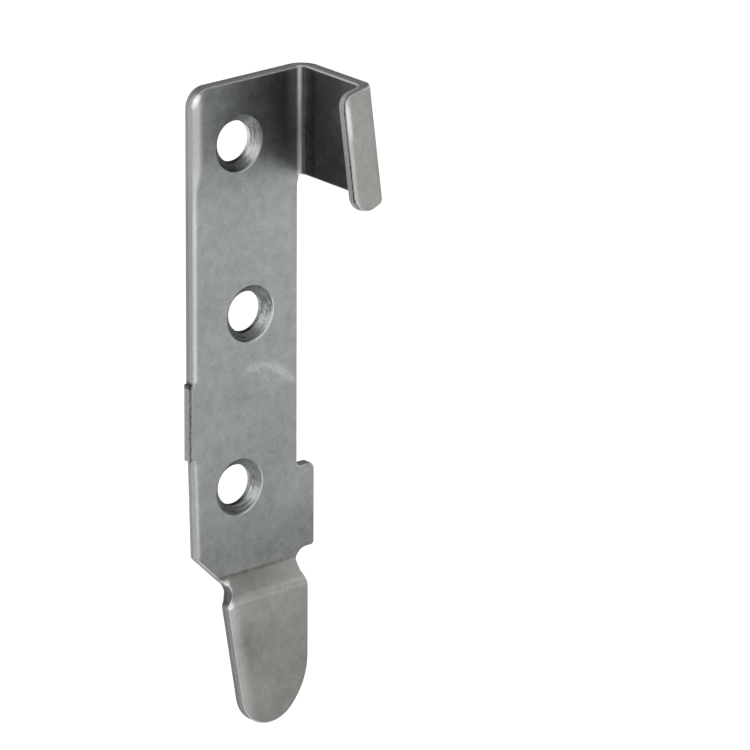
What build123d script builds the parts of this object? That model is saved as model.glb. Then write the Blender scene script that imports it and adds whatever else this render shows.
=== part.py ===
from build123d import *
from math import cos, pi, radians, sin, sqrt, tan
import os

# Sheet and bends
sheet = 2.5
bend_radius = 0.8
bend_outside = 4.2
taper = 9.8

# Screw holes, the outer two on one upright line
hole_pitch = 35.0
hole_stagger = 2.7
hole_bore = 8.2
sink_width = 11.4
sink_angle = 90.0

# Soft edge along both skins, left by blanking and tumbling, and the slack in telling
# one edge of the sheet from the next
roll_radius = 0.5
hair = 0.01

# Plate, measured from the hole line and from the outer holes
plain_edge = 11.4
waist_width = 26.1
tab_reach = 4.4
top_margin = 12.6
top_corner = 4.0
shoulder_rise = 0.8
tab_height = 17.4
tab_corner = 1.5
small_corner = 0.8
waist_step = 0.4
waist_run = 1.6

# Stub of the strip carrier on the plain edge, and the trimmed edge below it
stub_drop = 11.7
stub_height = 15.6
stub_proud = 0.5
trim_inset = 0.3
trim_angle = 1.8

# Crank between plate and tongue, and the neck cut beside it
crank_drop = 1.6
crank_offset = 2.8
crank_length = 4.0
crank_radius = 1.0
corner_cut = 7.4
notch_inset = 2.9
notch_drop = 2.1
notch_radius = 1.2
neck_inset = 0.9
neck_straight = 1.1
neck_run = 2.4
relief_radius = 2.7

# Tongue, between its insets from the two sides of the blank and measured from the
# crank, with the radii of its tip as shares of its width
tongue_inset = 5.5
tongue_ledge = 3.8
tongue_length = 31.9
tongue_start = 2.9
tip_share = 0.35
side_share = 0.66

# Hook, with the corner radii of its lip as shares of the lip's flat
flange_stand = 3.6
hook_height = 22.2
hook_reach = 21.5
lip_width = 8.0
lip_drop = 1.7
lip_top_share = 0.6
lip_foot_share = 0.68

# Places that follow from the sizes
left = -plain_edge
waist = left + waist_width
tab_side = waist + tab_reach
flange_face = waist + flange_stand
bend_line = flange_face - bend_outside
top = hole_pitch + top_margin
hook_foot = top - hook_height
shoulder = -hole_pitch + shoulder_rise
tab_foot = shoulder - tab_height
crease = tab_foot - crank_drop
stub_top = -stub_drop
stub_foot = stub_top - stub_height
tongue_left = left + tongue_inset
tongue_right = tab_side - tongue_ledge
tongue_width = tongue_right - tongue_left
neck_right = tongue_right - neck_inset
relief_foot = tab_foot - relief_radius - neck_straight
notch_x = tongue_left + notch_inset
notch_z = crease - notch_drop
trim_foot = notch_z + corner_cut
trim_x = left + trim_inset + (stub_foot - trim_foot) * tan(radians(trim_angle))
slant = tan(radians(taper))
lobe_z = notch_z - tongue_start
lobe_x = tongue_left + (crease - lobe_z) * slant

# Tip of the tongue: a small arc against the tapered edge runs on into a larger one
tip_radius = tip_share * tongue_width
side_radius = side_share * tongue_width
tip_z = crease - tongue_length + tip_radius
tip_x = tongue_left + (crease - tip_z) * slant + tip_radius / cos(radians(taper))
side_x = tongue_right - side_radius
side_z = tip_z + sqrt((side_radius - tip_radius) ** 2 - (tip_x - side_x) ** 2)
reach = side_radius / (side_radius - tip_radius)
tip_right = (side_x + (tip_x - side_x) * reach, side_z + (tip_z - side_z) * reach)
tip_left = (
    tip_x - tip_radius * cos(radians(taper)),
    tip_z - tip_radius * sin(radians(taper)),
)

# Fold of the lip, slanted in the side view so that the hook opens downward
fold_radius = bend_radius + sheet
fold_top = -hook_reach + fold_radius / cos(radians(taper))
fold = Plane(
    (flange_face - fold_radius, fold_top, top),
    x_dir=(1, 0, 0),
    z_dir=(0, -sin(radians(taper)), -cos(radians(taper))),
)
fold_arc = (bend_radius + sheet / 2) * pi / 2
fold_slide = fold_arc * slant
quarter_turn = Helix(4 * fold_slide, fold_slide, bend_radius + sheet / 2)
edge_length = hook_height / cos(radians(taper))
lip_reach = lip_width - fold_radius
lip_start = fold_slide + lip_reach * slant
fold_drop = lip_drop * fold_arc / (fold_arc + lip_reach)

# Front outline from the right side of the tongue, up and round the plate and down
# to the tapered side, with a radius at each corner
outline = [
    (tongue_right, side_z, 0),
    (tongue_right, relief_foot - neck_run, relief_radius),
    (neck_right, relief_foot, relief_radius),
    (neck_right, tab_foot, relief_radius),
    (tab_side, tab_foot, small_corner),
    (tab_side, shoulder, tab_corner),
    (waist, shoulder, small_corner),
    (waist, hook_foot - waist_run, waist_run),
    (waist + waist_step, hook_foot, 0),
    (bend_line, hook_foot, 0),
    (bend_line, top, 0),
    (left, top, top_corner),
    (left, stub_top, 0),
    (left - stub_proud, stub_top, 0),
    (left - stub_proud, stub_foot, 0),
    (left + trim_inset, stub_foot, 0),
    (trim_x, trim_foot, small_corner),
    (notch_x, notch_z, notch_radius),
    (lobe_x, lobe_z, notch_radius),
    (*tip_left, 0),
]

with BuildPart() as hook:
    # Main bend beside the plate, in plan: tight inside, drawn rounder outside
    with BuildSketch(Plane.XY.offset(hook_foot)):
        with BuildLine():
            FilletPolyline(
                (bend_line - sheet, 0),
                (flange_face, 0),
                (flange_face, -bend_outside - sheet),
                (flange_face - sheet, -bend_outside - sheet),
                (flange_face - sheet, -sheet),
                (bend_line - sheet, -sheet),
                radius=(0, bend_outside, 0, 0, bend_radius, 0),
                close=True,
            )
        make_face()
    extrude(amount=hook_height)

    # Side wall of the hook, cut to the slanted fold line
    with BuildSketch(Plane.YZ.offset(flange_face)):
        with BuildLine():
            Polyline(
                (-bend_outside, top),
                (fold_top, top),
                (fold_top - hook_height * slant, hook_foot),
                (-bend_outside, hook_foot),
                close=True,
            )
        make_face()
    extrude(amount=-sheet)

    # Slanted fold: the end of the wall turns about the fold axis and slides along it,
    # and its foot starts to run down to the lip's
    with BuildLine() as fold_path:
        add(fold.location * quarter_turn)
    with BuildSketch(Plane(fold.origin, x_dir=fold.x_dir, z_dir=-fold.y_dir)):
        with Locations((bend_radius, 0)):
            Rectangle(sheet, edge_length, align=Align.MIN)
    turned = Plane(fold.origin + fold_slide * fold.z_dir, x_dir=fold.y_dir, z_dir=fold.x_dir)
    with BuildSketch(turned):
        with Locations((bend_radius, 0)):
            Rectangle(sheet, edge_length + fold_drop, align=Align.MIN)
    sweep(path=fold_path.line, multisection=True, is_frenet=True)

    # Lip beyond the fold
    with BuildSketch(Plane(fold.origin, x_dir=-fold.x_dir, z_dir=fold.y_dir).offset(bend_radius)):
        with BuildLine():
            FilletPolyline(
                (0, fold_slide),
                (lip_reach, lip_start),
                (lip_reach, lip_start + edge_length + lip_drop),
                (0, fold_slide + edge_length + fold_drop),
                radius=(0, lip_top_share * lip_reach, lip_foot_share * lip_reach, 0),
                close=True,
            )
        make_face()
    extrude(amount=sheet)

    # Roll of the edges along both skins
    blank_end = bend_line - sheet + hair
    rim = hook.faces().filter_by(lambda face: abs(face.normal_at().Z) > 0.5 or face.center().X < blank_end)
    skins = hook.faces() - rim
    rolled = (rim.edges() & skins.edges()).filter_by(lambda edge: edge.center().X > blank_end)
    fillet(rolled.sort_by(Axis.X).sort_by(Axis.Z), roll_radius)

with BuildPart() as bracket:
    # Side view of the sheet, cranked forward below the plate
    with BuildSketch(Plane.YZ.offset(left - sheet)):
        with BuildLine():
            FilletPolyline(
                (-sheet, top),
                (-sheet, crease),
                (-sheet - crank_offset, crease - crank_length),
                (-sheet - crank_offset, crease - tongue_length - sheet),
                radius=(crank_radius, crank_radius + sheet),
            )
            offset(amount=sheet, side=Side.LEFT)
        make_face()
    extrude(amount=tab_side - left + 2 * sheet)

    # The blank's outline trims it from the front
    with BuildSketch(Plane.XZ):
        with BuildLine():
            FilletPolyline(
                [(x, z) for x, z, radius in outline],
                radius=[radius for x, z, radius in outline[1:-1]],
            )
            side = TangentArc(outline[0][:2], tip_right, tangent=(0, -1))
            TangentArc(tip_right, tip_left, tangent=side % 1)
        make_face()
    extrude(amount=2 * sheet + 2 * crank_offset, mode=Mode.INTERSECT)

    # Roll of the edges along both skins, clear of the joint with the hook
    skins = bracket.faces().filter_by(lambda face: abs(face.normal_at().Y) > 0.5)
    rim = bracket.faces().filter_by(lambda face: abs(face.normal_at().Y) < 0.1)
    rolled = (rim.edges() & skins.edges()).filter_by(
        lambda edge: edge.center().X < bend_line - hair or edge.center().Z < hook_foot - hair
    )
    fillet(rolled.sort_by(Axis.X).sort_by(Axis.Z), roll_radius)

    add(hook.part)

    # Countersunk screw holes
    with Locations(Plane.XZ.offset(sheet)):
        with Locations((0, hole_pitch), (hole_stagger, 0), (0, -hole_pitch)):
            CounterSinkHole(hole_bore / 2, sink_width / 2, depth=sheet, counter_sink_angle=sink_angle)

os.makedirs("parts", exist_ok=True)
bracket.part.label = "bracket"
export_step(bracket.part, "parts/bracket.step")
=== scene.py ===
import math

import bpy
from mathutils import Matrix, Vector

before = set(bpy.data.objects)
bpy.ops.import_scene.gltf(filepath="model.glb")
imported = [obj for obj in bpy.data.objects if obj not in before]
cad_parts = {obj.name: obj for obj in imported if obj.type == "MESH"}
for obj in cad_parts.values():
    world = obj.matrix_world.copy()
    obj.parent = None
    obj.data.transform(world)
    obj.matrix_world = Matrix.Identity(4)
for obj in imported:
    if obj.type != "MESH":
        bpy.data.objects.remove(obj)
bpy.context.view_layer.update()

MM = 0.001
WHITE = (1.0, 1.0, 1.0, 1.0)

# Camera: one lens, aimed so that a known point of the part falls on a known pixel
IMAGE_SIDE = 750
FOCAL_PIXELS = 7000.0
SENSOR_MM = 36.0
CLIP_START, CLIP_END = 0.05, 50.0
AZIMUTH, ELEVATION, ROLL = -40.49, 19.71, 0.33
AIM = Vector((3.7, -8.0, -14.4)) * MM
AIM_PIXEL = (272.19, 390.29)
DISTANCE = 1349.63 * MM

# Studio: the floor, and what stands round the part. Each patch of the surroundings
# has a direction, the cosines where it starts and is full, and its brightness
FLOOR_HEIGHT, FLOOR_HALF = -0.45, 4.0
FLOOR_COLOUR, FLOOR_ROUGHNESS, FLOOR_GLOW = (0.9, 0.9, 0.9, 1.0), 0.9, 0.9
BACKDROP = 1.0
ROOM = 0.42
PATCHES = {
    "ceiling": ((0.2, 0.0, 1.0), 0.66, 0.80, 0.03),
    "behind": ((0.61, 0.72, 0.34), 0.70, 0.92, 0.24),
    "gap": ((-0.66, -0.66, -0.40), 0.45, 0.80, 0.01),
    "left": ((-0.61, 0.72, -0.34), 0.40, 0.85, 0.72),
    "key": ((0.0, -0.96, -0.22), 0.955, 0.985, 2.0),
    "lamp": ((-0.61, -0.72, 0.42), 0.95, 0.985, 2.4),
}
CARD_PLACE, CARD_AIM = (0.305, -0.360, -0.070), (0.0, 0.0, -0.070)
CARD_SIZE, CARD_POWER = (0.40, 0.24), 0.18

# Places on the part, in mm
SHEET, BEND_RADIUS, TAPER = 2.5, 0.8, math.radians(9.8)
HOLES = ((0.0, 35.0), (2.7, 0.0), (0.0, -35.0))
SINK_RADIUS, BORE_RADIUS = 5.7, 4.1
TOP, PLAIN_EDGE = 47.6, -11.4
STUB_SIDE, STUB_FOOT, STUB_TOP = -11.5, -27.3, -11.7
STUB_MIDDLE, STUB_HALF = (STUB_FOOT + STUB_TOP) / 2, (STUB_TOP - STUB_FOOT) / 2
CREASE, CRANK_LENGTH, CRANK_OFFSET = -53.2, 4.0, 2.8
TONGUE_LEFT = -5.9
HOOK_FOOT, BEND_LINE, FLANGE_INSIDE = 25.4, 14.1, 15.8
FOLD_TOP, LIP_START, FREE_EDGE = -18.15, 15.0, 10.3
SCUFF_CENTRE, SCUFF_RADIUS = (4.22, -21.76), 10.77

# Further from the screw holes than any point of the part
FAR = 1e3

# Plain edge below the stub: how far its roll is shifted, and how much it leans per mm
TRIM_SHIFT, TRIM_SLANT = -0.1, 0.0314

# Roll beside the plain edge, where a highlight is painted: where it ends and where it is full, and
# what is added high up
PLAIN_ROLL_END, PLAIN_ROLL_FULL = 1.7, 0.4
HIGH_ROLL_END, HIGH_ROLL_FULL = 1.7, 0.9

# Spots at the corners of the cut edge: x, z, radius and change of tone, where the bright
# spots are painted highlights, and the share of the radius inside which a spot is full
SPOTS = (
    (-3.39, -53.97, 0.9, 0.4),
    (-4.44, -57.97, 1.0, 0.4),
    (17.34, -34.38, 0.8, -0.15),
    (-10.9, 44.9, 1.1, 0.45),
    (-10.3, 46.1, 1.1, 0.45),
)
SPOT_CORE = 0.3

# Smooth steps: where each starts and is full, and its two values where they aren't 0 and 1.
# They run over places in mm, parts of the surface's normal, depths in sheets, or noise
FADES = {
    # Masks of the places
    "ahead_of_back": (-0.02, -0.1),
    "in_sink": (SINK_RADIUS + 0.05, SINK_RADIUS - 0.05),
    "above_hook_foot": (HOOK_FOOT - 3.0, HOOK_FOOT - 2.5),
    "past_bend_line": (BEND_LINE, BEND_LINE + 0.1),
    "ahead_of_plate": (-2.6, -2.8),
    "lip_side": (LIP_START + 0.1, LIP_START - 0.1),
    "lip_ahead": (-14.0, -15.0),
    "outside_ahead": (-6.0, -8.0),
    "outside_facing": (-0.2, -0.4),
    "cut_sideways": (0.6, 0.45),
    "cut_upright": (0.45, 0.6),
    "not_sideways": (0.35, 0.2),
    "on_slope": (0.97, 0.87),
    "crease_facing": (0.0, -0.5),
    "below_stub": (0.0, 0.1),
    "high_up": (25.0, 33.0),
    "plain_roll_foot": (CREASE + 4.6, CREASE + 6.0),
    "tongue_roll": (3.6, 0.2, 0.0, 0.42),
    "tongue_roll_top": (3.6, 5.2),
    "free_roll": (0.85, 0.45, 0.0, 0.45),
    "roll_facing": (-0.8, -0.9),
    "flat_facing": (-0.9, -0.98),
    "bend_turning": (-0.88, -0.62),
    "bend_foot": (HOOK_FOOT - 0.5, HOOK_FOOT + 0.5),
    "beside_bend": (11.0, 14.6),
    "on_plate": (-2.9, -2.6),
    "channel_ahead": (-3.0, -3.4),
    "gleam_side": (FREE_EDGE + 1.3, FREE_EDGE + 0.6),
    "gleam_facing": (-0.4, -0.6),
    "on_lip": (FOLD_TOP, FOLD_TOP - 0.3),
    "stub_side": (STUB_SIDE + 0.2, STUB_SIDE),
    # Skin
    # Painted shade: high on the plate and inside the hook, and low on the plate toward the crease
    "upper": (19.0, 36.0),
    "lower": (-36.0, -50.0),
    "above_crank": (CREASE - 4.0, CREASE),
    "tongue_tone": (CREASE - 14.0, CREASE - 5.0, -0.04, 0.02),
    "tongue_skin": (CREASE - 3.0, CREASE - 5.0),
    "scuff_left": (-4.0, -1.0),
    "scuff_foot": (4.2, 6.5),
    "scuff_grain": (0.25, 0.65, 0.5, 1.0),
    "plate_tint": (CREASE, CREASE + 3.0),
    # Cut edge and bends
    "broken": (0.52, 0.6),
    "pitted": (0.46, 0.56),
    "near_top": (TOP - 3.0, TOP - 1.5),
    "top_tone": (TOP - 3.0, TOP - 1.5, 0.0, 0.08),
    "left_face": (-10.0, -10.8),
    "notch_side": (0.0, -1.0),
    "tongue_cut": (CREASE - 3.0, CREASE - 6.0),
    # Painted highlight on the bend, brighter high up; painted shade inside the hook, deeper low down;
    # painted highlight where the hook's outside turns to the right
    "bend_tone": (36.0, 45.0, -0.06, 0.1),
    "channel_tone": (28.0, 44.0, -0.14, -0.04),
    "fold_tone": (0.1, 0.5, 0.0, 0.2),
    "bend_scatter": (36.0, 45.0, 0.32, 0.6),
    "beside_scatter": (32.0, 46.0, 0.12, 0.35),
    # Spots and countersinks
    "spot_facing": (-0.1, -0.3),
    # Painted highlight to the right of the top countersink, and painted shade in the bores
    "top_sink": (22.0, 30.0),
    "top_sink_tone": (0.4, 0.9, 0.0, 0.4),
    "bore_tone": (BORE_RADIUS + 0.1, BORE_RADIUS, 0.0, -0.4),
    "lower_right": (0.35, 0.85),
}

# Bands: the middle, the half width, and the width over which each fades on both sides
BANDS = {
    "crank": (CREASE - 3.0, 3.8, 0.4),
    # Painted shade on the brow under the crank and in the crease
    "brow": (CREASE - CRANK_LENGTH + 0.1, 0.5, 0.5),
    "crease": (CREASE + 0.1, 0.2, 0.4),
    "flat_roll": (0.68, 0.18, 0.12),
    "curled_roll": (0.6, 0.25, 0.1),
    "stub": (STUB_MIDDLE, STUB_HALF, 0.2),
    "beside_stub": (STUB_MIDDLE, STUB_HALF, 1.0),
    "stub_end": (STUB_TOP - 0.1, 0.5, 0.3),
    "bend_side": (14.95, 0.1, 0.7),
    "bend_ahead": (-2.8, 0.6, 0.1),
    # Painted shade in the hook's corner beside the bend
    "corner": (-4.6, 1.2, 0.8),
    "gleam": (42.0, 1.5, 3.0),
    "scuff": (SCUFF_RADIUS - 0.3, 0.3, 1.3),
    "in_scuff": (SCUFF_RADIUS - 2.6, 1.4, 2.0),
    "torn": (0.55, 0.02, 0.07),
    "pits": (0.56, 0.03, 0.07),
    "middle": (0.0, 20.0, 14.0),
    # Painted shadow on the cut faces at the waist of the neck
    "notch": (CREASE - 3.2, 1.2, 1.0),
    # Painted highlight on the countersinks' rims
    "rim": (SINK_RADIUS + 0.05, 0.16, 0.14),
}

# Straight ramps between two places, and the two values they give there
LINES = {
    "crank_depth": (CREASE, CREASE - CRANK_LENGTH, 0.0, CRANK_OFFSET),
    "torn_tone": (0.0, 1.0, -0.03, -0.28),
    # Painted highlight on the crank's slope, stronger to the right, and painted shade in the crease
    "slope_tone": (2.0, 15.0, 0.18, 0.45),
    "crease_tone": (6.0, 15.0, -0.16, -0.04),
    # Countersinks: painted highlight to the right, and painted shade at the foot and at the head
    "sink_aside": (-0.2, 0.9, -0.1, 0.48),
    "sink_foot": (-0.7, 0.1, -0.15, 0.0),
    "sink_head": (0.4, 0.9, 0.0, -0.2),
}

# Noise: scale per mm, detail, roughness and distortion. The stretched kinds have a scale
# of their own along each direction
NOISES = {
    "cloud": (0.07, 2.0, 0.5, 0.0),
    "blotch": (0.45, 3.0, 0.6, 0.4),
    "grain": (2.6, 3.0, 0.65, 0.0),
    "crumbs": (5.0, 4.0, 0.7, 0.0),
    "waver": (0.9, 2.0, 0.5, 0.0),
    "scratch": (1.0, 3.0, 0.6, 0.0),
    "streak": (1.0, 3.0, 0.6, 0.0),
    "rings": (1.0, 3.0, 0.7, 0.0),
}
STREAK_SCALES, RING_SCALES = (3.0, 0.7, 5.0), (3.2, 0.25, 0.25)

# The range that noise mostly keeps to
NOISE_LOW, NOISE_HIGH = 0.3, 0.7

# Scratches: turn in degrees, lines per mm, and the noise above which one shows
SCRATCHES = ((12.0, 5.0, 0.66), (78.0, 4.0, 0.68), (-38.0, 6.0, 0.68))
SCRATCH_LENGTH, SCRATCH_SOFTNESS = 40, 0.08

# How far the outlines of scuff and spots wander, in mm, and how far the torn line wavers
# and is shifted on the stub and the lip, in sheets
WANDER, WAVER = 0.35, 0.06
STUB_SHIFT, LIP_SHIFT = 0.4, 0.26

# Tone of the skin, and what each kind of mark or place adds to it where it is full. Noise
# swings to both sides of nought, apart from the burnished and broken bands
SKIN_TONE = 0.46
TONES = {
    "cloud": 0.05,
    "blotch": 0.045,
    "grain": 0.05,
    # Painted shade high on the plate and in the hook, and low on the plate toward the crease
    "upper": -0.13,
    "lower": -0.1,
    "scratch": 0.05,
    "scuff": 0.17,
    "burnished": 0.16,
    "broken": 0.25,
    "torn_lip": -0.3,
    "pits": -0.3,
    "lip": 0.17,
    "stub": 0.08,
    "middle": -0.07,
    # Painted shadow on the cut faces at the waist of the neck
    "notch": -0.3,
    "stub_end": -0.4,
    "tongue": -0.19,
    # Painted highlight on the edge rolls and the inside of the main bend
    "worn": 0.48,
    # Painted shade on the brow under the crank and in the hook's corner beside the bend
    "brow": -0.07,
    "corner": -0.1,
    "gleam": 0.3,
    "rings": 0.1,
    "sink_grain": 0.12,
    # Painted highlight on the countersinks' rims
    "rim": 0.45,
}

# Strength of the scuff inside its arc, the share of the roll's painted highlight that the stub lacks,
# and the direction, aside and above, in which the countersinks' rims get a painted highlight
IN_SCUFF = 0.3
STUB_LESS_HIGHLIGHT = 0.8
RIM_DIRECTION = (0.87, -0.5)

# Tints of the tongue and hook, of the plate, and of bare metal, which the cut faces and the painted
# highlights take
OTHER_TINT, PLATE_TINT, BARE_TINT = (0.99, 1.02, 0.955), (0.965, 1.025, 0.98), (1.0, 1.0, 1.0)

# Roughness, and what noise and scratches add to the skin's
ROUGHNESS = {"skin": 0.42, "burnished": 0.4, "broken": 0.7, "worn": 0.62, "bend": 0.55, "sink": 0.42}
ROUGHNESS_SWING, SCRATCH_ROUGHNESS = 0.03, -0.05

# Relief in mm, and the share of the light that a place scatters
RELIEF = {
    "grain": 0.006,
    "blotch": 0.012,
    "scratch": -0.002,
    "streak": 0.02,
    "crumbs": 0.06,
    "torn": -0.05,
    "pits": -0.1,
    "rings": 0.25,
    "sink_grain": 0.05,
}
SCATTER = {"roll": 0.22, "gleam": 0.35, "cut": 0.05, "lip_cut": 0.08}


def make_camera():
    az, el, roll = map(math.radians, (AZIMUTH, ELEVATION, ROLL))
    back = Vector((math.sin(az) * math.cos(el), -math.cos(az) * math.cos(el), math.sin(el)))
    right = Vector((math.cos(az), math.sin(az), 0.0))
    up = back.cross(right)
    x_axis = math.cos(roll) * right + math.sin(roll) * up
    y_axis = -math.sin(roll) * right + math.cos(roll) * up
    middle = IMAGE_SIDE / 2
    aside = (AIM_PIXEL[0] - middle) / FOCAL_PIXELS * DISTANCE
    above = (middle - AIM_PIXEL[1]) / FOCAL_PIXELS * DISTANCE
    data = bpy.data.cameras.new("camera")
    data.sensor_width = SENSOR_MM
    data.lens = FOCAL_PIXELS / IMAGE_SIDE * SENSOR_MM
    data.clip_start, data.clip_end = CLIP_START, CLIP_END
    camera = bpy.data.objects.new("camera", data)
    bpy.context.scene.collection.objects.link(camera)
    place = Matrix((x_axis, y_axis, back)).transposed().to_4x4()
    place.translation = AIM + DISTANCE * back - aside * x_axis - above * y_axis
    camera.matrix_world = place
    bpy.context.scene.camera = camera


class Nodes:
    """Short calls for building a node tree."""

    def __init__(self, tree):
        self.tree = tree
        tree.nodes.clear()

    def add(self, kind, inputs=None, **values):
        node = self.tree.nodes.new(kind)
        for name, value in values.items():
            setattr(node, name, value)
        for name, value in (inputs or {}).items():
            self.put(node.inputs[name], value)
        return node

    def put(self, socket, value):
        if isinstance(value, bpy.types.NodeSocket):
            self.tree.links.new(value, socket)
        else:
            socket.default_value = value

    def fill(self, node, values):
        """Put the values into the node's first inputs and return its first output."""
        for socket, value in zip(node.inputs, values):
            self.put(socket, value)
        return node.outputs[0]

    def end(self, kind, shader):
        """Put the shader into an output node."""
        self.put(self.add(kind).inputs[0], shader.outputs[0])

    def math(self, operation, *values, clamp=False):
        return self.fill(self.add("ShaderNodeMath", operation=operation, use_clamp=clamp), values)

    def chain(self, operation, values):
        total = values[0]
        for value in values[1:]:
            total = self.math(operation, total, value)
        return total

    def plus(self, *values):
        return self.chain("ADD", values)

    def times(self, *values):
        return self.chain("MULTIPLY", values)

    def most(self, *values):
        return self.chain("MAXIMUM", values)

    def minus(self, a, b):
        return self.math("SUBTRACT", a, b)

    def without(self, mask):
        return self.minus(1.0, mask)

    def length(self, a, b):
        return self.math("SQRT", self.plus(self.times(a, a), self.times(b, b)))

    def lerp(self, factor, a, b):
        return self.plus(self.times(factor, b), self.times(self.without(factor), a))

    def ramp(self, value, low, high, to_low=0.0, to_high=1.0):
        """A smooth step from to_low to to_high as value goes from low to high."""
        node = self.add("ShaderNodeMapRange", interpolation_type="SMOOTHSTEP")
        return self.fill(node, (value, low, high, to_low, to_high))

    def line(self, value, low, high, to_low, to_high):
        return self.fill(self.add("ShaderNodeMapRange"), (value, low, high, to_low, to_high))

    def named_ramp(self, value, name):
        """A smooth step by its name in FADES."""
        return self.ramp(value, *FADES[name])

    def named_line(self, value, name):
        """A straight ramp by its name in LINES."""
        return self.line(value, *LINES[name])

    def band(self, value, name):
        """One inside the named band, falling to nought on both sides."""
        middle, half, soft = BANDS[name]
        away = self.math("ABSOLUTE", self.minus(value, middle))
        return self.ramp(away, half + soft, half)

    def toned(self, tone, **masks):
        """The tone changed by TONES where each named mask is."""
        for name, mask in masks.items():
            tone = self.plus(tone, self.times(mask, TONES[name]))
        return tone

    def split(self, vector):
        node = self.add("ShaderNodeSeparateXYZ")
        self.put(node.inputs[0], vector)
        return node.outputs

    def noise(self, vector, name):
        node = self.add("ShaderNodeTexNoise", inputs={"Vector": vector})
        for socket, value in zip(("Scale", "Detail", "Roughness", "Distortion"), NOISES[name]):
            self.put(node.inputs[socket], value)
        return node.outputs["Fac"]

    def stretched_noise(self, values, scales, name):
        scaled = [self.times(value, scale) for value, scale in zip(values, scales)]
        return self.noise(self.fill(self.add("ShaderNodeCombineXYZ"), scaled), name)

    def spread(self, noise, low, high):
        """Noise spread from low to high over the range that it mostly keeps to."""
        return self.line(noise, NOISE_LOW, NOISE_HIGH, low, high)

    def swing(self, noise, reach):
        return self.spread(noise, -reach, reach)


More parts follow.
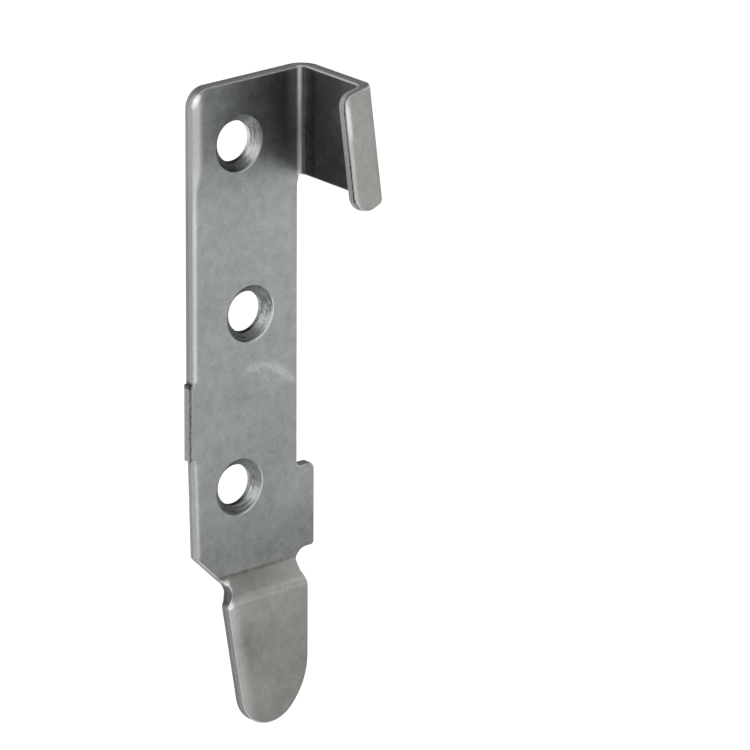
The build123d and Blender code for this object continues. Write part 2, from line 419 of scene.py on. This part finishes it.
class Places:
    """Where a point of the surface is on the part: shader values in mm, and masks."""

    def __init__(self, n):
        self.n = n
        coordinates = n.add("ShaderNodeTexCoord")
        scale = n.add("ShaderNodeVectorMath", operation="SCALE", inputs={"Scale": 1 / MM})
        self.mm = n.fill(scale, [coordinates.outputs["Object"]])
        self.x, self.y, self.z = n.split(self.mm)
        self.nx, self.ny, self.nz = n.split(coordinates.outputs["Normal"])
        self.facing = n.math("ABSOLUTE", self.ny)
        self.upright = n.math("ABSOLUTE", self.nz)
        self.high = n.named_ramp(self.z, "above_hook_foot")
        self.countersinks()
        self.hook_and_lip()
        self.crank()
        self.cut_and_rolls()
        self.main_bend()
        self.lip_gleam()
        self.cut_depth()

    def countersinks(self):
        """Distance and direction from the nearest screw hole's axis, and the sink round it."""
        n = self.n
        self.hole, aside, above = FAR, 0.0, 0.0
        for x, z in HOLES:
            right, up = n.minus(self.x, x), n.minus(self.z, z)
            distance = n.length(right, up)
            nearer = n.math("LESS_THAN", distance, self.hole)
            aside, above = n.lerp(nearer, aside, right), n.lerp(nearer, above, up)
            self.hole = n.math("MINIMUM", self.hole, distance)
        self.aside = n.math("DIVIDE", aside, self.hole)
        self.above = n.math("DIVIDE", above, self.hole)
        self.sink = n.times(n.named_ramp(self.hole, "in_sink"), n.named_ramp(self.y, "ahead_of_back"))

    def hook_and_lip(self):
        """The hook, its lip, the part that turns about the upright, and its outside."""
        n = self.n
        past = n.most(n.named_ramp(self.x, "past_bend_line"), n.named_ramp(self.y, "ahead_of_plate"))
        self.hook = n.times(self.high, past)
        self.lip = n.times(n.named_ramp(self.x, "lip_side"), n.named_ramp(self.y, "lip_ahead"))
        self.curled = n.times(self.hook, n.without(self.lip))
        ahead = n.named_ramp(self.y, "outside_ahead")
        self.outside = n.times(ahead, n.named_ramp(self.ny, "outside_facing"))

    def crank(self):
        """The crank's slope, the brow under it and the crease over it."""
        n = self.n
        sideways = n.named_ramp(n.math("ABSOLUTE", self.nx), "not_sideways")
        self.on_crank = n.times(n.band(self.z, "crank"), sideways)
        self.slope = n.times(self.on_crank, n.named_ramp(self.facing, "on_slope"))
        self.brow = n.times(n.band(self.z, "brow"), sideways)
        self.crease = n.times(n.band(self.z, "crease"), n.named_ramp(self.ny, "crease_facing"))

    def cut_and_rolls(self):
        """Cut faces, and the rolls between them and the skins."""
        n = self.n
        clear = n.without(self.sink)
        flat_cut = n.named_ramp(self.facing, "cut_sideways")
        curled_cut = n.named_ramp(self.upright, "cut_upright")
        self.cut = n.times(n.lerp(self.curled, flat_cut, curled_cut), clear)
        flat_roll = n.times(n.band(self.facing, "flat_roll"), n.without(self.on_crank))
        roll = n.times(n.lerp(self.curled, flat_roll, n.band(self.upright, "curled_roll")), clear)
        free = n.times(n.named_ramp(n.minus(self.x, FREE_EDGE), "free_roll"), self.lip)
        beside = n.plus(self.plain_roll(), self.tongue_roll())
        wide = n.plus(n.times(beside, n.without(self.hook)), free)
        self.roll = n.most(roll, n.times(wide, n.named_ramp(self.ny, "roll_facing")))

    def plain_roll(self):
        """The wider roll, with a painted highlight, that runs out on the front skin beside the plain
        edge.
        """
        n = self.n
        below = n.most(n.minus(STUB_FOOT, self.z), 0.0)
        shift = n.times(n.named_ramp(below, "below_stub"), TRIM_SHIFT)
        trimmed = n.plus(shift, n.times(below, TRIM_SLANT))
        edge = n.minus(n.minus(self.x, PLAIN_EDGE), trimmed)
        high_up = n.named_ramp(self.z, "high_up")
        end = n.plus(PLAIN_ROLL_END, n.times(high_up, HIGH_ROLL_END))
        full = n.plus(PLAIN_ROLL_FULL, n.times(high_up, HIGH_ROLL_FULL))
        fade = n.ramp(edge, end, full)
        plain = n.times(fade, fade, n.named_ramp(self.z, "plain_roll_foot"))
        return n.times(plain, n.without(n.band(self.z, "beside_stub")))

    def tongue_roll(self):
        """The wider roll, with a painted highlight, beside the tongue's tapered side."""
        n = self.n
        along = n.minus(CREASE, self.z)
        edge = n.minus(n.minus(self.x, TONGUE_LEFT), n.times(along, math.tan(TAPER)))
        return n.times(n.named_ramp(edge, "tongue_roll"), n.named_ramp(along, "tongue_roll_top"))

    def main_bend(self):
        """Inside of the main bend, with its painted highlight, and what flanks it, with painted shade
        inside the hook.
        """
        n = self.n
        inside = n.times(n.band(self.x, "bend_side"), n.named_ramp(self.nx, "bend_turning"))
        ahead = n.band(self.y, "bend_ahead")
        self.bend = n.times(inside, ahead, n.named_ramp(self.z, "bend_foot"))
        beside = n.times(self.high, n.named_ramp(self.x, "beside_bend"))
        on_plate = n.named_ramp(self.y, "on_plate")
        self.beside = n.times(beside, n.named_ramp(self.ny, "flat_facing"), on_plate)
        channel = n.times(self.hook, n.named_ramp(self.nx, "flat_facing"))
        self.channel = n.times(channel, n.named_ramp(self.y, "channel_ahead"))
        self.corner = n.times(self.channel, n.band(self.y, "corner"))

    def lip_gleam(self):
        """The bright patch on the lip, beside its free edge."""
        n = self.n
        gleam = n.times(n.named_ramp(self.x, "gleam_side"), n.band(self.z, "gleam"))
        self.gleam = n.times(gleam, self.lip, n.named_ramp(self.ny, "gleam_facing"))

    def cut_depth(self):
        """Depth through the sheet, 0 on the burnished side and 1 on the broken side."""
        n = self.n
        crank = n.named_line(self.z, "crank_depth")
        flat_depth = n.times(n.plus(self.y, SHEET, crank), 1 / SHEET)
        wall_depth = n.times(n.minus(self.x, FLANGE_INSIDE), 1 / SHEET)
        ahead = n.times(n.minus(FOLD_TOP, self.y), math.cos(TAPER))
        above = n.times(n.minus(self.z, TOP), math.sin(TAPER))
        lip_depth = n.times(n.minus(n.plus(ahead, above), BEND_RADIUS), 1 / SHEET)
        on_lip = n.named_ramp(self.y, "on_lip")
        hook_depth = n.lerp(on_lip, wall_depth, n.without(lip_depth))
        self.depth = n.lerp(self.hook, flat_depth, hook_depth)
        self.stub_face = n.named_ramp(self.x, "stub_side")
        self.stub = n.times(n.band(self.z, "stub"), self.stub_face)


class Steel:
    """Noise and marks of the steel sheet, the light and shade painted on it, and the surface they
    give it.
    """

    def __init__(self, n):
        self.n, self.at = n, Places(n)
        at = self.at
        self.cloud, self.blotch, self.grain, self.crumbs = (
            n.noise(at.mm, name) for name in ("cloud", "blotch", "grain", "crumbs")
        )
        self.streak = n.stretched_noise((at.x, at.y, at.z), STREAK_SCALES, "streak")
        self.rings = n.stretched_noise((at.hole, at.x, at.z), RING_SCALES, "rings")
        self.marks = n.most(*(self.scratches(*values) for values in SCRATCHES))
        self.wander = n.swing(self.blotch, WANDER)
        self.front = n.named_ramp(at.ny, "spot_facing")
        waver = n.swing(n.noise(at.mm, "waver"), WAVER)
        depth = n.plus(at.depth, waver, n.times(at.stub, STUB_SHIFT), n.times(at.lip, LIP_SHIFT))
        self.broken = n.named_ramp(depth, "broken")
        self.torn = n.band(depth, "torn")
        self.pits = n.times(at.stub, n.band(depth, "pits"), n.named_ramp(self.crumbs, "pitted"))
        # Painted highlight on the edge rolls, less on the stub, and on the inside of the main bend
        self.worn = n.most(n.times(at.roll, n.without(n.times(at.stub, STUB_LESS_HIGHLIGHT))), at.bend)

    def scratches(self, turn, fine, cut):
        """Thin faint lines along one direction of the skin."""
        mapping = self.n.add("ShaderNodeMapping", inputs={"Vector": self.at.mm})
        mapping.inputs["Rotation"].default_value = (0.0, math.radians(turn), 0.0)
        mapping.inputs["Scale"].default_value = (fine, fine, fine / SCRATCH_LENGTH)
        return self.n.ramp(self.n.noise(mapping.outputs[0], "scratch"), cut, cut + SCRATCH_SOFTNESS)

    def skin_tone(self):
        """Rolled skin: clouds, blotches, grain, scratches and the scuff, and painted shade by height.
        """
        n, at = self.n, self.at
        noises = (("cloud", self.cloud), ("blotch", self.blotch), ("grain", self.grain))
        tone = n.plus(*(n.swing(noise, TONES[name]) for name, noise in noises))
        # Painted shade high on the plate and in the hook, then on the plate toward the crease
        upper = n.times(n.named_ramp(at.z, "upper"), n.without(at.outside))
        lower = n.times(n.named_ramp(at.z, "lower"), n.named_ramp(at.z, "above_crank"))
        tongue = n.times(n.named_ramp(at.z, "tongue_tone"), n.named_ramp(at.z, "tongue_skin"))
        tone = n.plus(n.toned(tone, upper=upper, lower=lower), tongue)
        return n.toned(tone, scratch=self.marks, scuff=self.scuff())

    def scuff(self):
        """An arc of rubbed skin below the middle hole."""
        n, at = self.n, self.at
        aside, above = n.minus(at.x, SCUFF_CENTRE[0]), n.minus(at.z, SCUFF_CENTRE[1])
        away = n.length(aside, above)
        arc = n.band(n.plus(away, self.wander), "scuff")
        within = n.times(n.band(away, "in_scuff"), IN_SCUFF)
        reach = n.times(n.named_ramp(aside, "scuff_left"), n.named_ramp(above, "scuff_foot"))
        rubbed = n.times(n.most(arc, within), reach, n.named_ramp(at.ny, "flat_facing"))
        return n.times(rubbed, n.named_ramp(self.grain, "scuff_grain"))

    def cut_tone(self):
        """Cut faces: a burnished band, a torn line and a broken band."""
        n, at = self.n, self.at
        burnished = n.spread(self.streak, 0.0, TONES["burnished"])
        broken = n.spread(self.crumbs, 0.0, TONES["broken"])
        ragged = n.most(at.stub, at.hook, n.named_ramp(at.z, "near_top"))
        torn_tone = n.toned(n.named_line(ragged, "torn_tone"), torn_lip=at.lip)
        tone = n.plus(n.lerp(self.broken, burnished, broken), n.times(self.torn, torn_tone))
        middle = n.times(n.band(at.z, "middle"), n.named_ramp(at.x, "left_face"))
        tone = n.toned(tone, pits=self.pits, lip=at.lip, stub=at.stub, middle=middle)
        tone = n.plus(tone, n.named_ramp(at.z, "top_tone"))
        # Painted shadow on the cut faces at the waist of the neck
        notch = n.times(n.band(at.z, "notch"), n.named_ramp(at.x, "notch_side"))
        stub_end = n.times(n.band(at.z, "stub_end"), at.stub_face)
        return n.toned(tone, notch=notch, stub_end=stub_end, tongue=n.named_ramp(at.z, "tongue_cut"))

    def add_bends(self, tone):
        """Painted highlights on rolls, bends, crank, fold and lip; painted shade on brow, crease and
        hook.
        """
        n, at = self.n, self.at
        tone = n.toned(tone, worn=self.worn)
        tone = n.plus(tone, n.times(at.bend, n.named_ramp(at.z, "bend_tone")))
        tone = n.plus(tone, n.times(at.slope, n.named_line(at.x, "slope_tone")))
        tone = n.toned(tone, brow=at.brow)
        tone = n.plus(tone, n.times(at.crease, n.named_line(at.x, "crease_tone")))
        tone = n.toned(tone, corner=at.corner)
        tone = n.plus(tone, n.times(at.channel, n.named_ramp(at.z, "channel_tone")))
        tone = n.plus(tone, n.times(at.outside, n.named_ramp(at.nx, "fold_tone")))
        return n.toned(tone, gleam=at.gleam)

    def add_spots(self, tone):
        """Painted highlights and a darker spot at the cut edge's corners, and the light the
        highlights scatter.
        """
        n, at = self.n, self.at
        bright = 0.0
        for x, z, radius, change in SPOTS:
            away = n.length(n.minus(at.x, x), n.minus(at.z, z))
            core = n.ramp(n.plus(away, self.wander), radius, SPOT_CORE * radius)
            spot = n.times(core, self.front)
            tone = n.plus(tone, n.times(spot, change))
            bright = n.plus(bright, n.times(spot, max(change, 0.0)))
        return tone, bright

    def sink_tone(self):
        """Countersinks: painted highlight to the right, painted shade at top, foot and bore, with
        turned rings.
        """
        n, at = self.n, self.at
        tone = n.plus(n.named_line(at.aside, "sink_aside"), n.named_line(at.above, "sink_foot"))
        top_right = n.times(n.named_ramp(at.z, "top_sink"), n.named_ramp(at.aside, "top_sink_tone"))
        tone = n.plus(tone, top_right, n.named_line(at.above, "sink_head"))
        tone = n.plus(tone, n.swing(self.rings, TONES["rings"]))
        tone = n.plus(tone, n.swing(self.grain, TONES["sink_grain"]))
        return n.plus(tone, n.named_ramp(at.hole, "bore_tone"))

    def rim(self):
        """The painted highlight on the rim at the lower right of each countersink."""
        n, at = self.n, self.at
        lower_right = n.plus(n.times(at.aside, RIM_DIRECTION[0]), n.times(at.above, RIM_DIRECTION[1]))
        return n.times(n.band(at.hole, "rim"), n.named_ramp(lower_right, "lower_right"), self.front)

    def colour_and_spots(self):
        """The base colour, and the light that the bright spots scatter."""
        n, at = self.n, self.at
        tone = n.lerp(at.cut, self.skin_tone(), self.cut_tone())
        tone, bright = self.add_spots(self.add_bends(tone))
        tone = n.toned(n.lerp(at.sink, tone, self.sink_tone()), rim=self.rim())
        base = n.plus(SKIN_TONE, tone)
        bare = n.most(at.cut, self.worn)
        plate = n.times(n.named_ramp(at.z, "plate_tint"), n.without(at.outside))
        channels = []
        for other, cool, metal in zip(OTHER_TINT, PLATE_TINT, BARE_TINT):
            tint = n.lerp(bare, n.lerp(plate, other, cool), metal)
            channels.append(n.times(base, tint))
        return n.fill(n.add("ShaderNodeCombineColor"), channels), bright

    def roughness(self):
        n, at = self.n, self.at
        swings = (n.swing(noise, ROUGHNESS_SWING) for noise in (self.cloud, self.grain))
        skin = n.plus(ROUGHNESS["skin"], *swings, n.times(self.marks, SCRATCH_ROUGHNESS))
        rough = n.lerp(at.cut, skin, n.lerp(self.broken, ROUGHNESS["burnished"], ROUGHNESS["broken"]))
        for name, mask in (("worn", self.worn), ("bend", at.bend), ("sink", at.sink)):
            rough = n.lerp(mask, rough, ROUGHNESS[name])
        return rough

    def relief(self):
        """Grain and scratches of the skin, torn metal on the cut edge, turned rings in the sinks."""
        n, at = self.n, self.at
        grain, blotch = n.times(self.grain, RELIEF["grain"]), n.times(self.blotch, RELIEF["blotch"])
        skin = n.plus(grain, blotch, n.times(self.marks, RELIEF["scratch"]))
        burnished = n.times(self.streak, RELIEF["streak"])
        broken = n.times(self.crumbs, RELIEF["crumbs"])
        torn, pits = n.times(self.torn, RELIEF["torn"]), n.times(self.pits, RELIEF["pits"])
        height = n.lerp(at.cut, skin, n.plus(n.lerp(self.broken, burnished, broken), torn, pits))
        rings = n.times(self.rings, RELIEF["rings"])
        height = n.lerp(at.sink, height, n.plus(rings, n.times(self.grain, RELIEF["sink_grain"])))
        bump = n.add("ShaderNodeBump", inputs={"Strength": 1.0, "Distance": MM, "Height": height})
        return bump.outputs[0]

    def scatter(self, bright):
        """The share of the light that torn and stretched places scatter."""
        n, at = self.n, self.at
        scatter = n.times(at.bend, n.named_ramp(at.z, "bend_scatter"))
        scatter = n.plus(scatter, n.times(at.roll, SCATTER["roll"]))
        scatter = n.plus(scatter, n.times(at.beside, n.named_ramp(at.z, "beside_scatter")), bright)
        scatter = n.plus(scatter, n.times(at.gleam, SCATTER["gleam"]))
        cut = n.plus(SCATTER["cut"], n.times(at.lip, SCATTER["lip_cut"]))
        return n.plus(scatter, n.times(at.cut, cut))


def steel_material():
    material = bpy.data.materials.new("steel")
    material.use_nodes = True
    n = Nodes(material.node_tree)
    steel = Steel(n)
    colour, bright = steel.colour_and_spots()
    metallic = n.math("SUBTRACT", 1.0, steel.scatter(bright), clamp=True)
    shader = n.add("ShaderNodeBsdfPrincipled", inputs={"Base Color": colour, "Metallic": metallic})
    n.put(shader.inputs["Roughness"], steel.roughness())
    n.put(shader.inputs["Normal"], steel.relief())
    n.end("ShaderNodeOutputMaterial", shader)
    return material


def make_floor():
    corners = [(-1, -1), (1, -1), (1, 1), (-1, 1)]
    points = [(x * FLOOR_HALF, y * FLOOR_HALF, FLOOR_HEIGHT) for x, y in corners]
    mesh = bpy.data.meshes.new("floor")
    mesh.from_pydata(points, [], [(0, 1, 2, 3)])
    plane = bpy.data.objects.new("floor", mesh)
    bpy.context.scene.collection.objects.link(plane)
    material = bpy.data.materials.new("floor")
    material.use_nodes = True
    n = Nodes(material.node_tree)
    looks = {"Base Color": FLOOR_COLOUR, "Roughness": FLOOR_ROUGHNESS}
    looks.update({"Emission Color": WHITE, "Emission Strength": FLOOR_GLOW})
    shader = n.add("ShaderNodeBsdfPrincipled", inputs=looks)
    n.end("ShaderNodeOutputMaterial", shader)
    mesh.materials.append(material)
    plane.visible_glossy = False


def make_surroundings():
    world = bpy.data.worlds.new("studio")
    bpy.context.scene.world = world
    world.use_nodes = True
    n = Nodes(world.node_tree)
    direction = n.add("ShaderNodeTexCoord").outputs["Generated"]
    level = ROOM
    for toward, start, full, brightness in PATCHES.values():
        dot = n.add("ShaderNodeVectorMath", operation="DOT_PRODUCT")
        n.fill(dot, [direction, tuple(Vector(toward).normalized())])
        level = n.lerp(n.ramp(dot.outputs["Value"], start, full), level, brightness)
    seen = n.add("ShaderNodeLightPath").outputs["Is Camera Ray"]
    strength = n.lerp(seen, level, BACKDROP)
    shade = n.add("ShaderNodeBackground", inputs={"Color": WHITE, "Strength": strength})
    n.end("ShaderNodeOutputWorld", shade)


def make_card():
    data = bpy.data.lights.new("card", "AREA")
    data.shape = "RECTANGLE"
    data.size, data.size_y = CARD_SIZE
    data.energy = CARD_POWER
    card = bpy.data.objects.new("card", data)
    bpy.context.scene.collection.objects.link(card)
    card.location = CARD_PLACE
    card.rotation_mode = "QUATERNION"
    card.rotation_quaternion = (Vector(CARD_AIM) - Vector(CARD_PLACE)).to_track_quat("-Z", "Y")
    card.visible_camera = False


make_camera()
bpy.context.scene.view_settings.view_transform = "Standard"
make_surroundings()
make_floor()
make_card()

steel = steel_material()
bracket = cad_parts["bracket"]
for slot in bracket.material_slots:
    slot.material = steel
